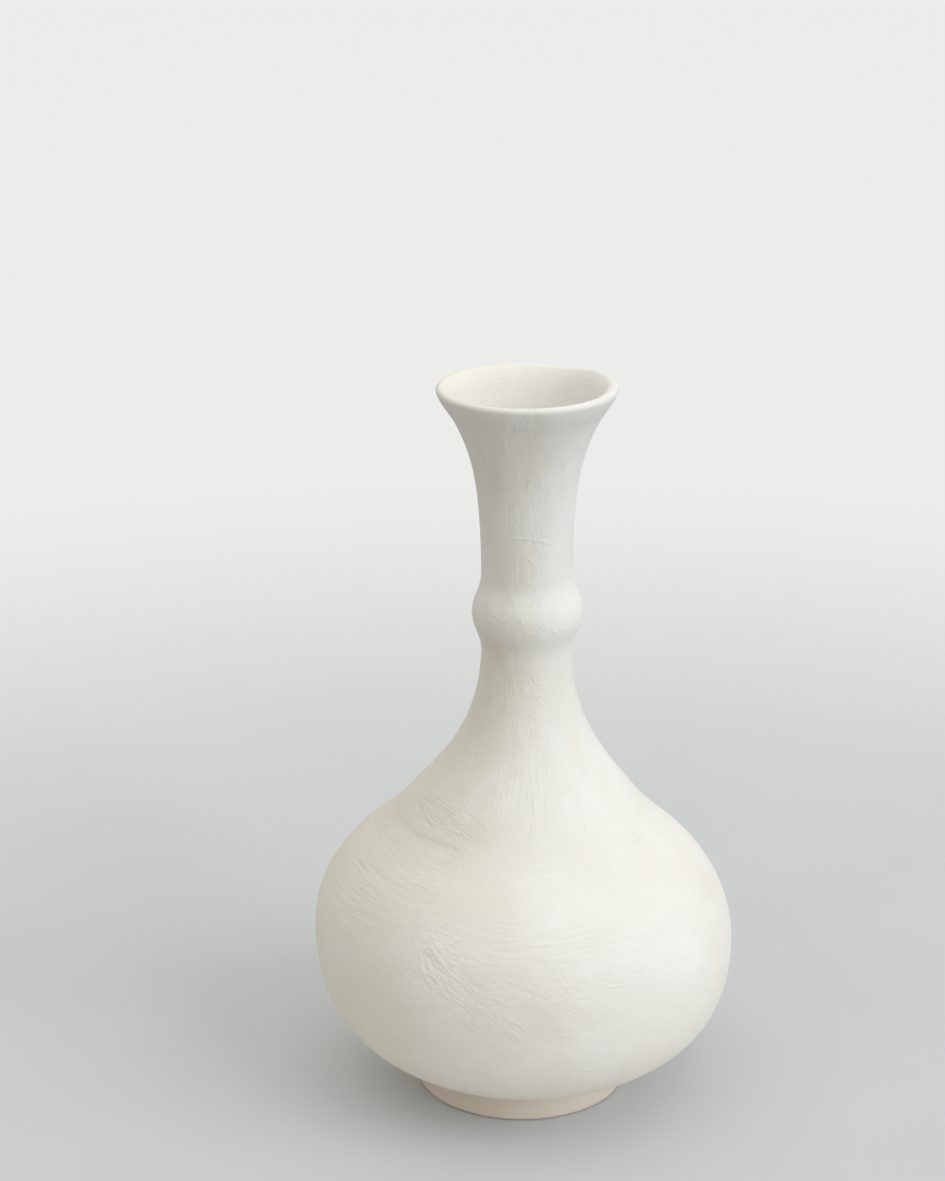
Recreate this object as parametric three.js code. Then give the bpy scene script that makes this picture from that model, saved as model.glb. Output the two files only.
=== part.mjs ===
// A bottle vase of bisque clay: five turned sections, luted with slip where they meet, under one
// brushed coat that leaves the foot bare. Millimetres, +Z up, origin under the middle of the foot.

import * as THREE from 'three';

// Outside of the finished vase
const overallHeight = 300;
const bellyRadius = 86.3;
const bellyHeight = 66.8;
const shoulderRadius = 52.6;
const shoulderHeight = 121;
const neckRadius = 18.35;
const knopRadius = 22.3;
const knopHeight = 206.4;
const lowerKnopRise = 15.6;
const upperKnopRise = 13.6;
const mouthRadius = 36;
const lipThickness = 3.4;

// Foot ring
const footHeight = 12;
const footRadius = 42.4;
const footWidth = 9;
const footLedge = 0.4;
const footEdgeRadius = 1.2;

// Clay and coat
const wall = 4.5;
const floorThickness = 6;
const coatThickness = 0.6;
const coatClearance = 0.1;
const coatReach = 40;

// Scored joints
const scoreDepth = 1.1;
const slipClearance = 0.2;

// Slopes of the outline, in degrees from level
const bodyBaseSlope = 20;
const shoulderSlope = 54;
const neckBaseSlope = 50.5;
const mouthSlope = 55.5;
const throatSlope = 60;

// How strongly the outline holds its direction at a point, as a share of the way to the next point
const bodyBasePull = 0.05;
const lowerBellyPull = 0.67;
const upperBellyPull = 0.52;
const shoulderPull = 0.18;
const neckBasePull = 0.31;
const underKnopPull = 0.44;
const lowerKnopPull = 0.41;
const upperKnopPull = 0.47;
const overKnopPull = 0.19;
const upperNeckPull = 0.53;
const mouthPull = 0.32;
const throatPull = 0.25;
const borePull = 0.5;

// Fineness of the turned surfaces
const facets = 36;
const bellySteps = 7;
const neckSteps = 6;
const knopSteps = 4;
const lipSteps = 5;
const footEdgeSteps = 2;

const bareClay = new THREE.MeshStandardMaterial({ color: 0xc4b7a6, roughness: 0.95, metalness: 0 });
const slip = new THREE.MeshStandardMaterial({ color: 0xb5a793, roughness: 0.95, metalness: 0 });
const whiteCoat = new THREE.MeshStandardMaterial({ color: 0xe8e5dc, roughness: 0.85, metalness: 0 });

const upward = 90;
const inward = 180;
const downward = 270;

function point(radius, height) {
  return new THREE.Vector2(radius, height);
}

function heading(degrees, length) {
  const angle = THREE.MathUtils.degToRad(degrees);
  return point(length * Math.cos(angle), length * Math.sin(angle));
}

// A smooth stretch of outline that leaves one point and comes to the next in given directions
function stretch(from, leaving, leavingPull, to, coming, comingPull, steps) {
  const way = from.distanceTo(to);
  const afterFrom = from.clone().add(heading(leaving, leavingPull * way));
  const beforeTo = to.clone().sub(heading(coming, comingPull * way));
  return new THREE.CubicBezierCurve(from, afterFrom, beforeTo, to).getSpacedPoints(steps);
}

function arc(centre, radius, fromDegrees, toDegrees, steps) {
  const from = THREE.MathUtils.degToRad(fromDegrees);
  const to = THREE.MathUtils.degToRad(toDegrees);
  return new THREE.EllipseCurve(centre.x, centre.y, radius, radius, from, to).getPoints(steps);
}

// Joins stretches that share their end points
function join(...stretches) {
  return stretches.flatMap((points, index) => (index ? points.slice(1) : points));
}

// The same outline at a given depth under its left side, which is where the clay lies
function inset(points, depth) {
  const leftOf = (a, b) => point(a.y - b.y, b.x - a.x).normalize();
  return points.map((here, index) => {
    const before = points[index - 1];
    const after = points[index + 1];
    const first = before ? leftOf(before, here) : leftOf(here, after);
    const second = after ? leftOf(here, after) : first;
    const middle = first.clone().add(second).normalize();
    return here.clone().addScaledVector(middle, depth / middle.dot(first));
  });
}

// The part of an outline between two levels, with a new point where it crosses either of them
function between(points, low, high) {
  const kept = [];
  points.forEach((here, index) => {
    const before = points[index - 1];
    if (before) {
      const levels = here.y > before.y ? [low, high] : [high, low];
      for (const level of levels) {
        if ((before.y - level) * (here.y - level) < 0) {
          kept.push(before.clone().lerp(here, (level - before.y) / (here.y - before.y)));
        }
      }
    }
    if (here.y >= low && here.y <= high) kept.push(here.clone());
  });
  return kept;
}

// Finished outside, from the edge of the body over the lip, and then down the throat
const skin = coatThickness + coatClearance;
const underKnopHeight = knopHeight - lowerKnopRise;
const overKnopHeight = knopHeight + upperKnopRise;
const bodyBase = point(footRadius - footLedge, footHeight + coatClearance);
const belly = point(bellyRadius, bellyHeight);
const shoulder = point(shoulderRadius, shoulderHeight);
const underKnop = point(neckRadius, underKnopHeight);
const knop = point(knopRadius, knopHeight);
const overKnop = point(neckRadius, overKnopHeight);
const lipRadius = lipThickness / 2;
const lipCentre = point(mouthRadius - lipRadius, overallHeight - lipRadius);
const lip = join(
  arc(lipCentre, lipRadius, mouthSlope - upward, upward, lipSteps),
  arc(lipCentre, lipRadius, upward, throatSlope + upward, lipSteps),
);
const boreRadius = neckRadius - wall - 2 * skin;
const boreTop = point(boreRadius, overKnopHeight);
const boreBottom = point(boreRadius, underKnopHeight);

const outside = join(
  stretch(bodyBase, bodyBaseSlope, bodyBasePull, belly, upward, lowerBellyPull, bellySteps),
  stretch(belly, upward, upperBellyPull, shoulder, inward - shoulderSlope, shoulderPull, bellySteps),
  stretch(shoulder, inward - neckBaseSlope, neckBasePull, underKnop, upward, underKnopPull, neckSteps),
  stretch(underKnop, upward, lowerKnopPull, knop, upward, lowerKnopPull, knopSteps),
  stretch(knop, upward, upperKnopPull, overKnop, upward, overKnopPull, knopSteps),
  stretch(overKnop, upward, upperNeckPull, lip[0], mouthSlope, mouthPull, neckSteps),
  lip,
);
const throat = join(
  stretch(outside.at(-1), inward + throatSlope, throatPull, boreTop, downward, borePull, neckSteps),
  [boreTop, boreBottom],
);

// The outside and the throat together, at a given depth under the finish
function layer(depth) {
  const points = inset(join(outside, throat), depth);
  return { outside: points.slice(0, outside.length), throat: points.slice(outside.length - 1) };
}

const finish = layer(0);
const coatBack = layer(coatThickness);
const clay = layer(skin);
const hollow = layer(skin + wall);

// A joint lies in the middle of the wall, where two sections meet on a level face
function wallJoint(inner, height) {
  const outerRadius = between(clay.outside, height, overallHeight)[0].x;
  const innerRadius = between(inner, height, overallHeight).at(-1).x;
  return point((outerRadius + innerRadius) / 2, height);
}

const hollowDown = hollow.outside.toReversed();
const footJoint = point(footRadius - footWidth / 2, footHeight);
const shoulderJoint = wallJoint(between(hollowDown, 0, underKnopHeight), shoulderHeight);
const underKnopJoint = wallJoint(clay.throat, underKnopHeight);
const overKnopJoint = wallJoint(clay.throat, overKnopHeight);

// Scored groove across a face, cut into the section below the joint or into the one above it
function scoreBelow(joint) {
  return [
    point(joint.x + scoreDepth, joint.y),
    point(joint.x, joint.y - scoreDepth),
    point(joint.x - scoreDepth, joint.y),
  ];
}

function scoreAbove(joint) {
  return [
    point(joint.x - scoreDepth, joint.y),
    point(joint.x, joint.y + scoreDepth),
    point(joint.x + scoreDepth, joint.y),
  ];
}

function ring(points) {
  return [...points, points[0]];
}

const vase = new THREE.Group();

function turn(name, outline, material) {
  const geometry = new THREE.LatheGeometry(outline, facets);
  geometry.rotateX(Math.PI / 2);
  const mesh = new THREE.Mesh(geometry, material);
  mesh.name = name;
  vase.add(mesh);
}

function addFootRing() {
  const innerRadius = footRadius - footWidth;
  const outerEdge = point(footRadius - footEdgeRadius, footEdgeRadius);
  const innerEdge = point(innerRadius + footEdgeRadius, footEdgeRadius);
  const outline = ring([
    ...arc(outerEdge, footEdgeRadius, -upward, 0, footEdgeSteps),
    point(footRadius, footHeight),
    ...scoreBelow(footJoint),
    point(innerRadius, footHeight),
    ...arc(innerEdge, footEdgeRadius, inward, downward, footEdgeSteps),
  ]);
  turn('foot_ring', outline, bareClay);
}

function addBodyBowl() {
  const floorHeight = footHeight + floorThickness;
  const side = between(clay.outside, footHeight, shoulderHeight);
  const chamfer = side[0].y - footHeight;
  const outline = [
    point(0, footHeight),
    ...scoreAbove(footJoint),
    point(side[0].x - chamfer, footHeight),
    ...side,
    ...scoreBelow(shoulderJoint),
    ...between(hollowDown, floorHeight, shoulderHeight),
    point(0, floorHeight),
  ];
  turn('body_bowl', outline, bareClay);
}

function addNeckCone() {
  const outline = ring([
    ...scoreAbove(shoulderJoint),
    ...between(clay.outside, shoulderHeight, underKnopHeight),
    ...scoreBelow(underKnopJoint),
    ...between(hollowDown, shoulderHeight, underKnopHeight),
  ]);
  turn('neck_cone', outline, bareClay);
}

function addNeckKnop() {
  const outline = ring([
    ...scoreAbove(underKnopJoint),
    ...between(clay.outside, underKnopHeight, overKnopHeight),
    ...scoreBelow(overKnopJoint),
    ...between(clay.throat, underKnopHeight, overKnopHeight),
  ]);
  turn('neck_knop', outline, bareClay);
}

function addTrumpetNeck() {
  const outline = ring([
    ...scoreAbove(overKnopJoint),
    ...between(clay.outside, overKnopHeight, overallHeight),
    ...between(clay.throat, overKnopHeight, overallHeight).slice(1),
  ]);
  turn('trumpet_neck', outline, bareClay);
}

function addSlip(name, joint) {
  const reach = scoreDepth - slipClearance;
  const outline = ring([
    point(joint.x, joint.y - reach),
    point(joint.x + reach, joint.y),
    point(joint.x, joint.y + reach),
    point(joint.x - reach, joint.y),
  ]);
  turn(name, outline, slip);
}

function addBrushedCoat() {
  const coatEnd = overallHeight - coatReach;
  const face = join(finish.outside, between(finish.throat, coatEnd, overallHeight));
  const back = join(coatBack.outside, between(coatBack.throat, coatEnd, overallHeight));
  turn('brushed_coat', ring([...face, ...back.toReversed()]), whiteCoat);
}

addFootRing();
addBodyBowl();
addNeckCone();
addNeckKnop();
addTrumpetNeck();
addSlip('foot_slip', footJoint);
addSlip('shoulder_slip', shoulderJoint);
addSlip('lower_knop_slip', underKnopJoint);
addSlip('upper_knop_slip', overKnopJoint);
addBrushedCoat();

export default vase;
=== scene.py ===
# %% [markdown]
# # A bisque bottle vase under a brushed white coat
# The real vase was thrown on a wheel in sections, joined with slip, fired once and then brushed with a
# chalky white coat that stops at the foot. The CAD model holds its sizes as plain turned solids. This
# lesson keeps those sizes and adds what a hand leaves behind: a slight lean, an uneven lip, furrows from
# the bristles and a white that is thinner in some places than in others. First come the camera and the
# light, then the clay, and then the coat with its brush marks.

# %% Load the CAD model
import math

import bpy
import numpy as np
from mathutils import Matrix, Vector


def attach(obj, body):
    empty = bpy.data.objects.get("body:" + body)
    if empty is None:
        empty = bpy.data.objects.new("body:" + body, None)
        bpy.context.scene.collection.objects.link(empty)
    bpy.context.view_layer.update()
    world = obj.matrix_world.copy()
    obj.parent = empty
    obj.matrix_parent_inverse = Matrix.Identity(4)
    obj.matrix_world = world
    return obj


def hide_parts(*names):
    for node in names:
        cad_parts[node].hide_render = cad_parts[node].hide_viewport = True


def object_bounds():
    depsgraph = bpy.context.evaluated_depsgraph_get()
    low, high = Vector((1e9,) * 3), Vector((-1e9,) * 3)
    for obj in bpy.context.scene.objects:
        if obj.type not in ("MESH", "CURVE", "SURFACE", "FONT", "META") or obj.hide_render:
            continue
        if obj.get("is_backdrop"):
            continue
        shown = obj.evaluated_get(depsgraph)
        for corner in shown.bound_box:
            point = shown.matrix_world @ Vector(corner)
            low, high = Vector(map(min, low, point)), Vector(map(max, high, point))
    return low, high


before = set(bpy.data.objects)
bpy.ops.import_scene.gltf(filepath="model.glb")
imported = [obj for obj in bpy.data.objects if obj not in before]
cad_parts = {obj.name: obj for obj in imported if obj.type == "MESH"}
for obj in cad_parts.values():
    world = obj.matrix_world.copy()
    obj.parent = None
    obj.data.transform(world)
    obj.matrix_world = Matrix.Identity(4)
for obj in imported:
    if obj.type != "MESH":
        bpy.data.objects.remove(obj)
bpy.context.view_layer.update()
MM = 0.001

# %% [markdown]
# ## Camera
# The vase is seen from above its mouth, far enough away that its two sides stay nearly parallel, so the
# lens is long. The camera could aim straight at the vase and be shifted, but a shift would follow it into
# every other view. Turning the camera a degree to the left puts the vase right of the middle instead.

# %% Camera
CAMERA_DISTANCE = 1.2
CAMERA_HEIGHT = 0.621
LOOKING_DOWN = 18.69
TURNED_LEFT = 0.99
SENSOR_WIDTH = 36
LENS = 96.3

bpy.ops.object.camera_add(
    location=(0, -CAMERA_DISTANCE, CAMERA_HEIGHT),
    rotation=(math.radians(90 - LOOKING_DOWN), 0, math.radians(TURNED_LEFT)),
)
camera = bpy.context.object
camera.data.sensor_width = SENSOR_WIDTH
camera.data.lens = LENS
bpy.context.scene.camera = camera
print("camera at", tuple(round(x, 3) for x in camera.location))

# %% [markdown]
# ## Colours and nodes
# Every colour below is written as the hex value that a paint program shows, and one function turns it to
# the linear numbers that the shaders add and multiply. A second small function adds a node, so that each
# material reads as a list of what it is mixed from. A third starts a matt material.

# %% Helpers for materials
def linear(hex_colour):
    parts = [int(hex_colour[i : i + 2], 16) / 255 for i in (1, 3, 5)]
    return [p / 12.92 if p <= 0.04045 else ((p + 0.055) / 1.055) ** 2.4 for p in parts] + [1]


def add_node(tree, kind, settings, links):
    """Settings and links name a socket, or a property where the node has one of that name."""
    node = tree.nodes.new(kind)
    for name, value in settings.items():
        if isinstance(name, str) and hasattr(node, name):
            setattr(node, name, value)
        else:
            node.inputs[name].default_value = value
    for name, output in links.items():
        tree.links.new(output, node.inputs[name])
    return node


def matt_material(name, roughness):
    material = bpy.data.materials.new(name)
    material.use_nodes = True
    tree = material.node_tree
    surface = tree.nodes["Principled BSDF"]
    surface.inputs["Roughness"].default_value = roughness
    return material, tree, surface


print("warm white in linear numbers:", [round(c, 3) for c in linear("#ECEAE4")])

# %% [markdown]
# ## Light and floor
# Soft daylight comes from the front right: the left side of the neck falls to about half the brightness
# of the right, and the shade is a little warmer than the light. A wide sun lamp gives the direction, and
# a sky that is brighter overhead than at the horizon softens it. An area lamp would do as well, but it
# would light the floor unevenly. The camera sees a plain pale sky, so that low views stay pale too.

# %% Light
KEY_FROM_RIGHT = 58
KEY_HEIGHT = 26
KEY_STRENGTH = 1.25
KEY_WIDTH = 50
SKY_AT_HORIZON = 0.43
SKY_OVERHEAD = 1.02

bpy.ops.object.light_add(
    type="SUN", rotation=(math.radians(90 - KEY_HEIGHT), 0, math.radians(KEY_FROM_RIGHT))
)
key = bpy.context.object
key.name = "key"
key.data.energy = KEY_STRENGTH
key.data.angle = math.radians(KEY_WIDTH)
key.data.color = linear("#F5F9FF")[:3]


def seen_directly(tree):
    """1 for what the camera sees, also in a mirror or through glass, and 0 for light on its way."""
    path = add_node(tree, "ShaderNodeLightPath", {}, {})
    mirrored = add_node(
        tree, "ShaderNodeMath", {"operation": "MAXIMUM"},
        {0: path.outputs["Is Glossy Ray"], 1: path.outputs["Is Transmission Ray"]},
    )
    return add_node(
        tree, "ShaderNodeMath", {"operation": "MAXIMUM"},
        {0: path.outputs["Is Camera Ray"], 1: mirrored.outputs[0]},
    ).outputs[0]


sky = bpy.data.worlds.new("studio_sky")
bpy.context.scene.world = sky
sky.use_nodes = True
tree = sky.node_tree
tree.nodes.clear()
direction = add_node(tree, "ShaderNodeTexCoord", {}, {})
level = add_node(tree, "ShaderNodeSeparateXYZ", {}, {0: direction.outputs["Generated"]})
brightness = add_node(
    tree, "ShaderNodeMapRange", {"To Min": SKY_AT_HORIZON, "To Max": SKY_OVERHEAD},
    {"Value": level.outputs["Z"]},
)
fill = add_node(
    tree, "ShaderNodeBackground", {"Color": linear("#FFFCF4")}, {"Strength": brightness.outputs[0]}
)
backdrop = add_node(tree, "ShaderNodeBackground", {"Color": linear("#E2E4E6"), "Strength": 1}, {})
both = add_node(
    tree, "ShaderNodeMixShader", {},
    {0: seen_directly(tree), 1: fill.outputs[0], 2: backdrop.outputs[0]},
)
add_node(tree, "ShaderNodeOutputWorld", {}, {"Surface": both.outputs[0]})

bpy.context.scene.view_settings.view_transform = "Standard"
print("key light from", KEY_FROM_RIGHT, "degrees right,", KEY_HEIGHT, "degrees up")

# %% [markdown]
# The floor is a matt pale board. Cloudy patches about a hand wide keep it from looking printed. A real
# table ends somewhere and throws little light back from far away, so for light on its way the board is
# palest round the foot and darkens over two or three times the vase's height. What the camera sees turns
# paler with the distance instead.

# %% Floor
FLOOR_SIZE = 40
FLOOR_DROP = 0.2 * MM
BOARD_CLOUD = 0.1
PALER = (0.25, 0.9)
DARKER = (0.07, 0.8)

bpy.ops.mesh.primitive_plane_add(size=FLOOR_SIZE, location=(0, 0, -FLOOR_DROP))
floor = bpy.context.object
floor.name = "floor"
floor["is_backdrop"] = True

board, tree, surface = matt_material("matt_pale_board", 0.9)
place = add_node(tree, "ShaderNodeTexCoord", {}, {})
distance = add_node(
    tree, "ShaderNodeVectorMath", {"operation": "LENGTH"}, {0: place.outputs["Object"]}
)
paler_share, darker_share = [
    add_node(
        tree, "ShaderNodeMapRange",
        {"interpolation_type": "SMOOTHSTEP", "From Min": near, "From Max": far},
        {"Value": distance.outputs["Value"]},
    )
    for near, far in (PALER, DARKER)
]
clouds = add_node(
    tree, "ShaderNodeTexNoise", {"Scale": 1 / BOARD_CLOUD, "Detail": 3},
    {"Vector": place.outputs["Object"]},
)
near_tone = add_node(
    tree, "ShaderNodeMix",
    {"data_type": "RGBA", 6: linear("#CBCFD4"), 7: linear("#D1D5D9")}, {0: clouds.outputs["Fac"]},
)
seen_tone = add_node(
    tree, "ShaderNodeMix", {"data_type": "RGBA", 7: linear("#EEF0F2")},
    {0: paler_share.outputs[0], 6: near_tone.outputs[2]},
)
lit_tone = add_node(
    tree, "ShaderNodeMix", {"data_type": "RGBA", 6: linear("#D4D4D4"), 7: linear("#6C6C6C")},
    {0: darker_share.outputs[0]},
)
tone = add_node(
    tree, "ShaderNodeMix", {"data_type": "RGBA"},
    {0: seen_directly(tree), 6: lit_tone.outputs[2], 7: seen_tone.outputs[2]},
)
tree.links.new(tone.outputs[2], surface.inputs["Base Color"])
floor.data.materials.append(board)
print("floor", FLOOR_SIZE, "m across")

# %% [markdown]
# ## The lean of a hand-made vase
# A wheel makes round forms, but sections that are joined by hand don't stand quite true: the belly here
# sinks a little to the right, the neck leans back over it, and the lip rises and dips. Bending each piece
# with lattices would also do it. Two curves over the height are plainer: how far each level is shifted to
# the side and how much it is tilted. Every piece goes through the same function, so they stay fitted.

# %% Helpers for points
def smooth_through(at, knots, values):
    """A smooth curve through the knots that turns back only at a knot."""
    at, knots, values = (np.asarray(x, float) for x in (at, knots, values))
    slopes = np.gradient(values, knots)
    rises = np.diff(values)
    slopes[1:-1][rises[:-1] * rises[1:] <= 0] = 0
    i = np.clip(np.searchsorted(knots, at, side="right") - 1, 0, len(knots) - 2)
    step = knots[i + 1] - knots[i]
    t = np.clip((at - knots[i]) / step, 0, 1)
    start = (2 * t**3 - 3 * t**2 + 1) * values[i] + (t**3 - 2 * t**2 + t) * step * slopes[i]
    end = (3 * t**2 - 2 * t**3) * values[i + 1] + (t**3 - t**2) * step * slopes[i + 1]
    return start + end


def ramp(x):
    x = np.clip(x, 0, 1)
    return x * x * (3 - 2 * x)


def bell(x):
    return np.exp(-(x**2))


def points_of(piece):
    points = np.zeros(len(piece.data.vertices) * 3, np.float32)
    piece.data.vertices.foreach_get("co", points)
    return points.reshape(-1, 3).astype(float) / MM


def move_points(piece, points):
    piece.data.vertices.foreach_set("co", (points * MM).astype(np.float32).ravel())
    piece.data.update()


def angle_of(points):
    """Degrees round the vase: 0 is right, 90 the back, 180 left and 270 the front."""
    return np.degrees(np.arctan2(points[:, 1], points[:, 0])) % 360


# %% The lean
LEAN_HEIGHTS = [0, 12, 32, 60, 90, 118, 150, 190, 206, 222, 300]
SIDE_SHIFT = [-0.6, 0.55, 0.65, 0.6, -0.1, -0.35, 0.5, 1.15, 1.4, 1.15, 0.75]
TILT = [0, 0.36, 0.84, 1.24, 0.8, 0.32, -0.73, -0.96, -0.9, -0.76, -0.59]
LIP_ANGLES = [-30, 0, 25, 35, 45, 55, 63, 72, 80, 92, 103, 110, 118, 130, 145, 160, 185, 215, 330]
LIP_RISE = [
    0, 0.4, 0.7, 0.8, 0.1, -0.35, -0.75, -0.55, -0.3, 0,
    0.4, 0.6, 0.5, 0.4, 0.25, 0.45, 0.2, 0, 0,
]
LIP_WAVE_FROM = 270
LIP_WAVE_OVER = 28


def lean(piece):
    points = points_of(piece)
    side, height = points[:, 0].copy(), points[:, 2].copy()
    turn_angle = (angle_of(points) - LIP_ANGLES[0]) % 360 + LIP_ANGLES[0]
    lip_share = ramp((height - LIP_WAVE_FROM) / LIP_WAVE_OVER)
    tilt = np.radians(smooth_through(height, LEAN_HEIGHTS, TILT))
    points[:, 0] += smooth_through(height, LEAN_HEIGHTS, SIDE_SHIFT)
    points[:, 2] += lip_share * smooth_through(turn_angle, LIP_ANGLES, LIP_RISE) - tilt * side
    move_points(piece, points)


print("the lip rises and dips between", min(LIP_RISE), "and", max(LIP_RISE), "mm")

# %% [markdown]
# ## Sections and turning
# A turned form is fully told by half of its cross section. The CAD solids are faceted, so each one is cut
# open here: a copy is merged, bisected through its axis with both sides cleared, and what is left is the
# outline. The Screw modifier then sweeps that outline round the axis in as many steps as the piece
# needs. The Spin tool would do the same in edit mode, but takes far longer at a thousand steps.

# %% Cut and turn
MERGE_WITHIN = 0.001 * MM
ON_AXIS = 0.01
SMOOTH_UNDER = 40


def select_only(piece):
    bpy.ops.object.select_all(action="DESELECT")
    piece.select_set(True)
    bpy.context.view_layer.objects.active = piece


def section_of(node):
    """Half of a CAD node's cross section: points of radius and height in mm, in order."""
    select_only(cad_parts[node])
    bpy.ops.object.duplicate()
    cut = bpy.context.object
    bpy.ops.object.mode_set(mode="EDIT")
    bpy.ops.mesh.select_all(action="SELECT")
    bpy.ops.mesh.remove_doubles(threshold=MERGE_WITHIN)
    bpy.ops.mesh.bisect(plane_co=(0, 0, 0), plane_no=(0, 1, 0), clear_inner=True, clear_outer=True)
    bpy.ops.mesh.select_all(action="SELECT")
    bpy.ops.mesh.bisect(plane_co=(0, 0, 0), plane_no=(1, 0, 0), clear_inner=True)
    bpy.ops.object.mode_set(mode="OBJECT")
    points = points_of(cut)[:, [0, 2]]
    beside = {i: [] for i in range(len(points))}
    for edge in cut.data.edges:
        a, b = edge.vertices
        beside[a].append(b)
        beside[b].append(a)
    bpy.data.objects.remove(cut)
    ends = [i for i in beside if len(beside[i]) == 1] or list(beside)
    order = [min(ends, key=lambda i: (round(points[i][1], 2), -points[i][0]))]
    while True:
        onward = [i for i in beside[order[-1]] if i not in order]
        if not onward:
            return points[order]
        order.append(max(onward, key=lambda i: points[i][0]))


def keep(mesh, name, values):
    """Store one number per point, for a later step or for a material."""
    mesh.attributes.new(name, "FLOAT", "POINT").data.foreach_set("value", values.astype(np.float32))


def turn(name, outline, columns, along=None):
    """Sweep an outline round the axis. An outline that starts on the axis is left open there."""
    count = len(outline)
    edges = [(i, i + 1) for i in range(count - 1)]
    if outline[0][0] > ON_AXIS:
        edges.append((count - 1, 0))
    mesh = bpy.data.meshes.new(name)
    mesh.from_pydata([(r * MM, 0, z * MM) for r, z in outline], edges, [])
    if along is not None:
        keep(mesh, "along", along)
    piece = bpy.data.objects.new(name, mesh)
    bpy.context.collection.objects.link(piece)
    select_only(piece)
    bpy.ops.object.modifier_add(type="SCREW")
    sweep = piece.modifiers[-1]
    sweep.steps = sweep.render_steps = columns
    sweep.use_merge_vertices = True
    bpy.ops.object.modifier_apply(modifier=sweep.name)
    bpy.ops.object.mode_set(mode="EDIT")
    bpy.ops.mesh.select_all(action="SELECT")
    bpy.ops.mesh.remove_doubles(threshold=MERGE_WITHIN)
    bpy.ops.mesh.normals_make_consistent(inside=False)
    bpy.ops.object.mode_set(mode="OBJECT")
    return piece


def finish_piece(piece, material, slot, *nodes):
    select_only(piece)
    bpy.ops.object.shade_smooth_by_angle(angle=math.radians(SMOOTH_UNDER))
    piece.data.materials.append(material)
    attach(piece, "root")
    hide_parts(*nodes)
    piece.data.calc_loop_triangles()
    print(piece.name, "has", len(piece.data.loop_triangles), "triangles")


# %% [markdown]
# ## Bare bisque clay
# Bisque is clay fired once and left unglazed: dry, matt and slightly rough, with a pinkish beige that
# wanders a little and fine darker grains in it. Turning on the wheel leaves shallow rings. The colour is
# two beiges mixed by a cloudy noise, with sparse grains, and paler where a piece says so: where coat was
# washed over it, and on the right of the foot also as painted light. The rings are a noise that changes
# with height only, used as bump.

# %% Bisque material
CLOUD = 14 * MM
GRAIN = 0.7 * MM
RING = 0.9 * MM
RING_BUMP = 0.06 * MM
GRAIN_BESIDE_RINGS = 0.4

bisque, tree, surface = matt_material("bare_bisque_clay", 0.92)
place = add_node(tree, "ShaderNodeTexCoord", {}, {})
clouds = add_node(
    tree, "ShaderNodeTexNoise", {"Scale": 1 / CLOUD, "Detail": 4},
    {"Vector": place.outputs["Object"]},
)
body_colour = add_node(
    tree, "ShaderNodeMix", {"data_type": "RGBA", 6: linear("#DFD2C4"), 7: linear("#E8DDD1")},
    {0: clouds.outputs["Fac"]},
)
grains = add_node(
    tree, "ShaderNodeTexNoise", {"Scale": 1 / GRAIN, "Detail": 2},
    {"Vector": place.outputs["Object"]},
)
sparse = add_node(
    tree, "ShaderNodeMapRange", {"From Min": 0.6, "From Max": 0.75, "To Max": 0.35},
    {"Value": grains.outputs["Fac"]},
)
speckled = add_node(
    tree, "ShaderNodeMix", {"data_type": "RGBA", 7: linear("#B5A593")},
    {0: sparse.outputs[0], 6: body_colour.outputs[2]},
)
# Paler where coat washed over the foot, and on its right also painted light.
wash_and_lit_side = add_node(tree, "ShaderNodeAttribute", {"attribute_name": "wash_and_lit_side"}, {})
washed_and_lit = add_node(
    tree, "ShaderNodeMix", {"data_type": "RGBA", 7: linear("#E4E1D6")},
    {0: wash_and_lit_side.outputs["Fac"], 6: speckled.outputs[2]},
)
level = add_node(tree, "ShaderNodeSeparateXYZ", {}, {0: place.outputs["Object"]})
rings = add_node(
    tree, "ShaderNodeTexNoise", {"noise_dimensions": "1D", "Scale": 1 / RING, "Detail": 3},
    {"W": level.outputs["Z"]},
)
rough = add_node(
    tree, "ShaderNodeMath", {"operation": "MULTIPLY_ADD", 1: GRAIN_BESIDE_RINGS},
    {0: grains.outputs["Fac"], 2: rings.outputs["Fac"]},
)
bump = add_node(
    tree, "ShaderNodeBump", {"Strength": 0.5, "Distance": RING_BUMP}, {"Height": rough.outputs[0]}
)
tree.links.new(washed_and_lit.outputs[2], surface.inputs["Base Color"])
tree.links.new(bump.outputs[0], surface.inputs["Normal"])
print("bisque grains", GRAIN / MM, "mm, rings", RING / MM, "mm")

# %% [markdown]
# ## Dried slip
# Slip is clay stirred into cream, and it glues the sections together. It dries smoother and a shade
# darker than the clay. It hardly shows on the finished vase, so its material is a quiet one: one mottled
# colour and a fine grain.

# %% Slip material
MOTTLE = 3 * MM
MOTTLE_BUMP = 0.05 * MM

slip, tree, surface = matt_material("dried_joining_slip", 0.9)
place = add_node(tree, "ShaderNodeTexCoord", {}, {})
mottle = add_node(
    tree, "ShaderNodeTexNoise", {"Scale": 1 / MOTTLE, "Detail": 4},
    {"Vector": place.outputs["Object"]},
)
slip_colour = add_node(
    tree, "ShaderNodeMix", {"data_type": "RGBA", 6: linear("#AE9C89"), 7: linear("#BFAF9C")},
    {0: mottle.outputs["Fac"]},
)
bump = add_node(
    tree, "ShaderNodeBump", {"Strength": 0.3, "Distance": MOTTLE_BUMP},
    {"Height": mottle.outputs["Fac"]},
)
tree.links.new(slip_colour.outputs[2], surface.inputs["Base Color"])
tree.links.new(bump.outputs[0], surface.inputs["Normal"])
print("slip mottle", MOTTLE / MM, "mm")

# %% [markdown]
# ## The thrown sections and the slip between them
# Under the coat are a bowl, a cone, a round knop and a trumpet, with a ring of slip in each joint. Most
# of it is hidden, but the inside of the throat is bare clay, and the vase is seen from above. Each is
# turned again from its CAD section with smooth walls and then leaned like the rest.

# %% Clay sections
CLAY_COLUMNS = 128

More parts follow.
